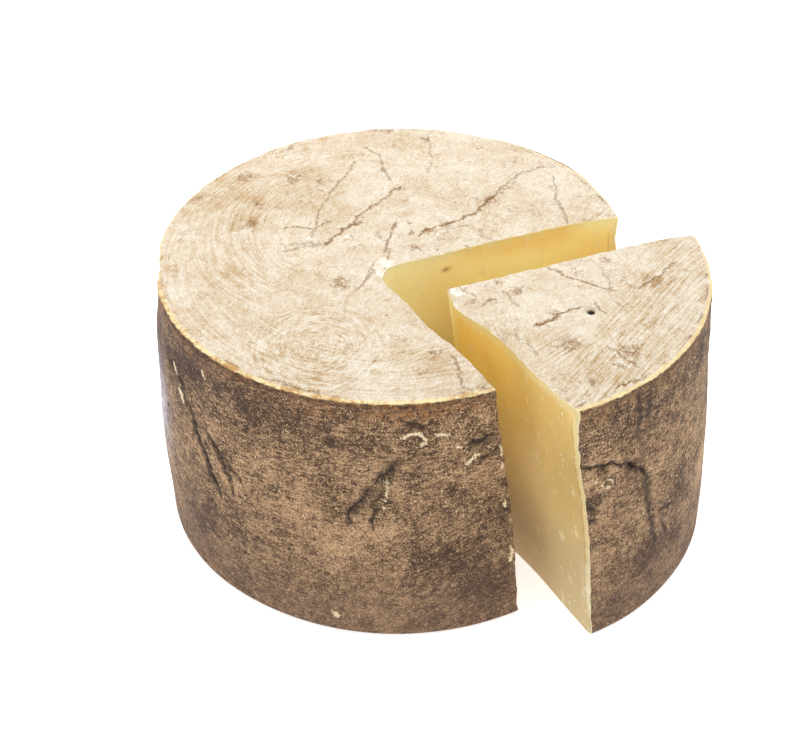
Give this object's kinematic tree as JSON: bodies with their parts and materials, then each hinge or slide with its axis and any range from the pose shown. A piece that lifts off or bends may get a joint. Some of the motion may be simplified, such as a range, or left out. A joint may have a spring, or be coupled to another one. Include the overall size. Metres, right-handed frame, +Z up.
{
  "type": "cheese wheel",
  "caption": "Tall pressed cheese wheel with a brown brushed natural rind, and a deep wedge cut from it and drawn part of the way out.",
  "frame": {"origin": "on the resting surface, under the middle of the box that holds the wheel and its drawn-out wedge", "axes": "+X the way the wedge is drawn out of its notch, +Z up along the wheel's turned axis, +Y level and to the left of +X"},
  "size_m": [0.2393, 0.2054, 0.1263],
  "materials": {
    "rind": "dry natural cheese rind, brown and speckled on the side, pale straw on the brushed top, matt",
    "paste": "firm yellow cheese paste as cut, faintly waxy, with small pale specks"
  },
  "bodies": {
    "root": {"wheel": "rind", "wedge": "paste"}
  },
  "joints": []
}
